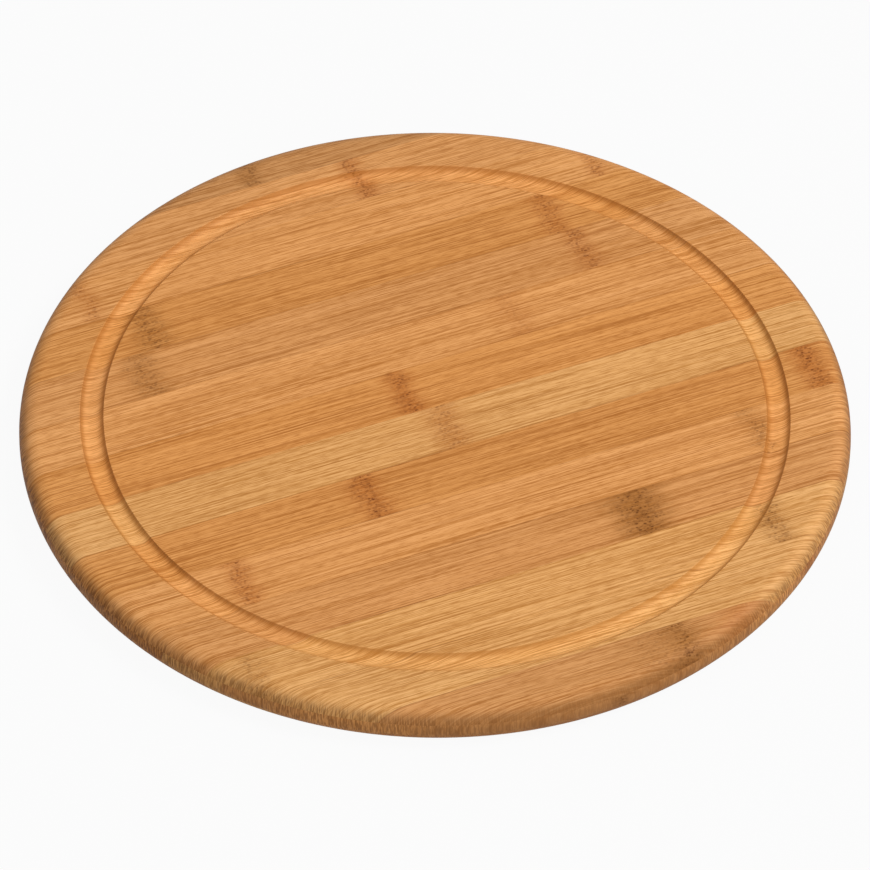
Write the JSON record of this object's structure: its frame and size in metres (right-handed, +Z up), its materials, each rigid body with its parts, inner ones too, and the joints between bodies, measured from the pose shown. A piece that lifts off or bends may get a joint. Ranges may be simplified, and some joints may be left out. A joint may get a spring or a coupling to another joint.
{
  "type": "round cutting board",
  "caption": "Flat round bamboo cutting board glued up from strips in plies, with a rounded rim and a juice groove around its cutting face.",
  "frame": {"origin": "middle of the underside, on the board's round axis", "axes": "+Z up through the cutting face, +X along the grain of the strips, +Y across them"},
  "size_m": [0.3, 0.3, 0.015],
  "materials": {
    "pale_bamboo": "satin oiled",
    "honey_bamboo": "satin oiled",
    "tan_bamboo": "satin oiled",
    "amber_bamboo": "satin oiled"
  },
  "bodies": {
    "root": {"base_strip_far_1": "honey_bamboo", "base_strip_far_2": "tan_bamboo", "base_strip_far_3": "pale_bamboo", "base_strip_far_4": "amber_bamboo", "base_strip_far_5": "honey_bamboo", "base_strip_far_6": "pale_bamboo", "base_strip_far_7": "tan_bamboo", "base_strip_near_1": "pale_bamboo", "base_strip_near_2": "amber_bamboo", "base_strip_near_3": "honey_bamboo", "base_strip_near_4": "tan_bamboo", "base_strip_near_5": "pale_bamboo", "base_strip_near_6": "honey_bamboo", "base_strip_near_7": "amber_bamboo", "core_strip_far_1": "tan_bamboo", "core_strip_far_2": "amber_bamboo", "core_strip_far_3": "honey_bamboo", "core_strip_far_4": "tan_bamboo", "core_strip_far_5": "pale_bamboo", "core_strip_far_6": "tan_bamboo", "core_strip_far_7": "amber_bamboo", "core_strip_near_1": "honey_bamboo", "core_strip_near_2": "tan_bamboo", "core_strip_near_3": "amber_bamboo", "core_strip_near_4": "pale_bamboo", "core_strip_near_5": "tan_bamboo", "core_strip_near_6": "honey_bamboo", "core_strip_near_7": "tan_bamboo", "top_strip_far_1": "amber_bamboo", "top_strip_far_2": "honey_bamboo", "top_strip_far_3": "tan_bamboo", "top_strip_far_4": "amber_bamboo", "top_strip_far_5": "honey_bamboo", "top_strip_far_6": "tan_bamboo", "top_strip_far_7": "tan_bamboo", "top_strip_near_1": "pale_bamboo", "top_strip_near_2": "amber_bamboo", "top_strip_near_3": "honey_bamboo", "top_strip_near_4": "tan_bamboo", "top_strip_near_5": "pale_bamboo", "top_strip_near_6": "pale_bamboo", "top_strip_near_7": "tan_bamboo"}
  },
  "joints": []
}
